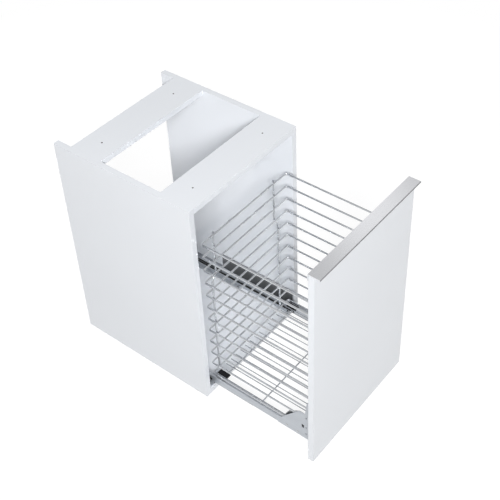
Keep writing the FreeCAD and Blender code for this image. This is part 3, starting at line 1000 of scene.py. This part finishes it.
screwSettings = {"head": 0.002, "shankDia": 0.0035, "flushSink": 0.001}
inwards = {True: (1.0, 0.0, 0.0), False: (-1.0, 0.0, 0.0)}  # keyed by whether the fixing is on the left

frontBoxes = solidsOf("front_screws")
frontSize = firstSize(frontBoxes)
frontPlaces = [
    (((low.x + high.x) / 2, high.y - screwSettings["head"], (low.z + high.z) / 2), (0.0, 1.0, 0.0))
    for low, high in frontBoxes
]
frontShank = frontSize.y - screwSettings["head"]
setFixings(
    "frontScrews", panScrew(frontSize.z, screwSettings["head"], screwSettings["shankDia"], frontShank),
    frontPlaces, "pull_out", "fixing_steel", ["front_screws"],
)

runnerBoxes = solidsOf("runner_screws")
runnerSize = firstSize(runnerBoxes)
runnerPlaces = []
for low, high in runnerBoxes:
    middle = (low + high) / 2
    onLeft = high.x < 0
    if high.z - low.z > high.x - low.x:  # a screw down into the bottom panel
        seat = (middle.x, middle.y, high.z - screwSettings["head"])
        runnerPlaces.append((seat, (0.0, 0.0, 1.0)))
    else:
        seatX = high.x - screwSettings["head"] if onLeft else low.x + screwSettings["head"]
        runnerPlaces.append(((seatX, middle.y, middle.z), inwards[onLeft]))
runnerShank = runnerSize.x - screwSettings["head"]
setFixings(
    "runnerScrews", panScrew(runnerSize.z, screwSettings["head"], screwSettings["shankDia"], runnerShank),
    runnerPlaces, "cabinet", "dark_steel", ["runner_screws"],
)

handleBoxes = solidsOf("handle_screws")
handleSize = firstSize(handleBoxes)
handlePlaces = [
    (((low.x + high.x) / 2, high.y, (low.z + high.z) / 2), (0.0, 1.0, 0.0)) for low, high in handleBoxes
]
setFixings(
    "handleScrews",
    flushScrew(handleSize.z, screwSettings["flushSink"], screwSettings["shankDia"], handleSize.y),
    handlePlaces, "pull_out", "fixing_steel", ["handle_screws"],
)

rivetBoxes = solidsOf("bracket_rivets")
rivetSize = firstSize(rivetBoxes)
rivetPlaces = [((low + high) / 2, inwards[high.x < 0]) for low, high in rivetBoxes]
setFixings(
    "bracketRivets", domedRivet(rivetSize.z, rivetSize.x), rivetPlaces, "pull_out", "fixing_steel",
    ["bracket_rivets"],
)

camBoxes = solidsOf("cam_locks")
camSize = firstSize(camBoxes)
camPlaces = [
    (((low.x + high.x) / 2, (low.y + high.y) / 2, low.z), (0.0, 0.0, -1.0)) for low, high in camBoxes
]
setFixings("camFaces", camFace(camSize.y), camPlaces, "cabinet", "fixing_steel", ["cam_locks"])

padBoxes = solidsOf("closing_bumpers")
padSize = firstSize(padBoxes)
padPlaces = [
    (((low.x + high.x) / 2, low.y, (low.z + high.z) / 2), (0.0, 1.0, 0.0)) for low, high in padBoxes
]
setFixings(
    "closingPads", domedPad(padSize.z, padSize.y), padPlaces, "pull_out", "bumper_rubber",
    ["closing_bumpers"],
)

for level in ("lower", "upper"):
    for side in ("left", "right"):
        rollerNode = level + "_rollers_" + side
        rollerBoxes = solidsOf(rollerNode)
        rollerSize = firstSize(rollerBoxes)
        rollerPlaces = [((low + high) / 2, (1.0, 0.0, 0.0)) for low, high in rollerBoxes]
        setFixings(
            level + "Rollers" + side.capitalize(), plainRoller(rollerSize.z, rollerSize.x), rollerPlaces,
            level + "_carriage_" + side, "fixing_steel", [rollerNode],
        )
print("fixings done")


# Studio: floor, world, lamps and camera
def seenRay(tree):
    # 1 for camera, glossy and transmission rays, so metal shows the white studio too
    rays = tree.nodes.new("ShaderNodeLightPath").outputs
    return largestOf(tree, rays["Is Camera Ray"], rays["Is Glossy Ray"], rays["Is Transmission Ray"])


floorLook = {
    "half": 6.0,
    "drop": 0.0006,
    "seenGrey": 0.2,
    "glow": 0.87,
    "plainGrey": 0.32,
    "shadowReach": (0.9, 2.2),
}


def paleFloor():
    made = bpy.data.materials.new("paleFloor")
    made.use_nodes = True
    tree = made.node_tree
    tree.nodes.clear()
    plain = tree.nodes.new("ShaderNodeBsdfDiffuse")
    plain.inputs["Color"].default_value = opaqueGrey(floorLook["plainGrey"])
    seen = tree.nodes.new("ShaderNodeBsdfDiffuse")
    seen.inputs["Color"].default_value = opaqueGrey(floorLook["seenGrey"])
    glow = tree.nodes.new("ShaderNodeEmission")
    glow.inputs["Strength"].default_value = floorLook["glow"]
    both = tree.nodes.new("ShaderNodeAddShader")
    # Away from the object the floor runs out into the plain white backdrop
    place = tree.nodes.new("ShaderNodeTexCoord")
    distance = tree.nodes.new("ShaderNodeVectorMath")
    distance.operation = "LENGTH"
    white = tree.nodes.new("ShaderNodeEmission")
    faded = tree.nodes.new("ShaderNodeMixShader")
    tree.links.new(place.outputs["Object"], distance.inputs[0])
    away = spreadNode(tree, distance.outputs["Value"], floorLook["shadowReach"], (0.0, 1.0))
    tree.links.new(away, faded.inputs["Fac"])
    tree.links.new(both.outputs["Shader"], faded.inputs[1])
    tree.links.new(white.outputs["Emission"], faded.inputs[2])
    mix = tree.nodes.new("ShaderNodeMixShader")
    out = tree.nodes.new("ShaderNodeOutputMaterial")
    tree.links.new(seen.outputs["BSDF"], both.inputs[0])
    tree.links.new(glow.outputs["Emission"], both.inputs[1])
    tree.links.new(seenRay(tree), mix.inputs["Fac"])
    tree.links.new(plain.outputs["BSDF"], mix.inputs[1])
    tree.links.new(faded.outputs["Shader"], mix.inputs[2])
    tree.links.new(mix.outputs["Shader"], out.inputs["Surface"])
    return made


def studioFloor():
    reach = floorLook["half"]
    level = cadLow.z - floorLook["drop"]
    mesh = bpy.data.meshes.new("studioFloor")
    corners = [(-reach, -reach, level), (reach, -reach, level), (reach, reach, level), (-reach, reach, level)]
    mesh.from_pydata(corners, [], [(0, 1, 2, 3)])
    mesh.materials.append(paleFloor())
    ground = bpy.data.objects.new("studioFloor", mesh)
    scene.collection.objects.link(ground)


worldLook = {
    "colour": (0.95, 0.975, 1.0),
    "strength": 0.17,
    "whiteBelow": 0.2,
    "greyAbove": 0.55,
    "ceiling": 0.56,
}


def studioWorld():
    world = bpy.data.worlds.new("studioWorld")
    world.use_nodes = True
    tree = world.node_tree
    tree.nodes.clear()
    room = tree.nodes.new("ShaderNodeBackground")
    room.inputs["Color"].default_value = opaque(worldLook["colour"])
    room.inputs["Strength"].default_value = worldLook["strength"]
    # What is seen: white backdrop near the floor, a greyer ceiling above it
    place = tree.nodes.new("ShaderNodeTexCoord")
    axes = tree.nodes.new("ShaderNodeSeparateXYZ")
    height = tree.nodes.new("ShaderNodeValToRGB")
    backdrop, ceiling = height.color_ramp.elements
    backdrop.position = worldLook["whiteBelow"]
    backdrop.color = opaqueGrey(1.0)
    ceiling.position = worldLook["greyAbove"]
    ceiling.color = opaqueGrey(worldLook["ceiling"])
    white = tree.nodes.new("ShaderNodeBackground")
    tree.links.new(place.outputs["Generated"], axes.inputs["Vector"])
    tree.links.new(axes.outputs["Z"], height.inputs["Fac"])
    tree.links.new(height.outputs["Color"], white.inputs["Color"])
    mix = tree.nodes.new("ShaderNodeMixShader")
    out = tree.nodes.new("ShaderNodeOutputWorld")
    tree.links.new(seenRay(tree), mix.inputs["Fac"])
    tree.links.new(room.outputs["Background"], mix.inputs[1])
    tree.links.new(white.outputs["Background"], mix.inputs[2])
    tree.links.new(mix.outputs["Shader"], out.inputs["Surface"])
    scene.world = world


# A lamp with inGloss False lights surfaces but isn't mirrored in them
lampLook = {
    "softKey": {"place": (-3.68, -3.38, 3.89), "size": 1.4, "power": 366.0},
    "softHigh": {"place": (-0.2, -0.7, 3.4), "size": 2.0, "power": 10.0},
    "softRight": {"place": (3.3, 0.5, 1.2), "size": 2.0, "power": 34.0, "inGloss": False},
    "softFront": {"place": (0.85, -3.4, 1.25), "size": 2.0, "power": 2.0},
    "softRear": {"place": (0.6, 3.4, 1.3), "size": 2.0, "power": 40.0, "inGloss": False},
    "softBack": {"place": (1.88, 0.5, 2.6), "size": 0.45, "power": 0.36},
}


def studioLamps():
    aim = (cadLow + cadHigh) / 2
    for name, look in lampLook.items():
        lamp = bpy.data.lights.new(name, "AREA")
        lamp.shape = "SQUARE"
        lamp.size = look["size"]
        lamp.energy = look["power"]
        stand = bpy.data.objects.new(name, lamp)
        stand.location = look["place"]
        stand.rotation_mode = "QUATERNION"
        stand.rotation_quaternion = (aim - stand.location).to_track_quat("-Z", "Y")
        stand.visible_glossy = look.get("inGloss", True)
        scene.collection.objects.link(stand)


# Camera at the photograph's viewing angle, for a square picture
cameraLook = {
    "place": (-1.5468, -1.5719, 2.3321),
    "azimuth": -51.603,
    "elevation": 39.674,
    "roll": 1.545,
    "pictureSide": 500.0,
    "focalPixels": 989.3,
    "axisPixel": (276.0, 189.0),
    "sensorWidth": 36.0,
    "clipEnd": 50.0,
}


def photoCamera():
    side = cameraLook["pictureSide"]
    axisX, axisY = cameraLook["axisPixel"]
    azimuth = math.radians(cameraLook["azimuth"])
    elevation = math.radians(cameraLook["elevation"])
    level = math.cos(elevation)
    ahead = Vector((-math.sin(azimuth) * level, math.cos(azimuth) * level, -math.sin(elevation)))
    lens = bpy.data.cameras.new("photoCamera")
    lens.sensor_width = cameraLook["sensorWidth"]
    lens.lens = cameraLook["focalPixels"] / side * cameraLook["sensorWidth"]
    lens.shift_x = (side / 2 - axisX) / side
    lens.shift_y = (axisY - side / 2) / side
    lens.clip_end = cameraLook["clipEnd"]
    camera = bpy.data.objects.new("photoCamera", lens)
    camera.location = cameraLook["place"]
    camera.rotation_mode = "QUATERNION"
    roll = Quaternion((0.0, 0.0, 1.0), -math.radians(cameraLook["roll"]))
    camera.rotation_quaternion = ahead.to_track_quat("-Z", "Y") @ roll
    scene.collection.objects.link(camera)
    scene.camera = camera


studioFloor()
studioWorld()
studioLamps()
photoCamera()
print("studio ready")
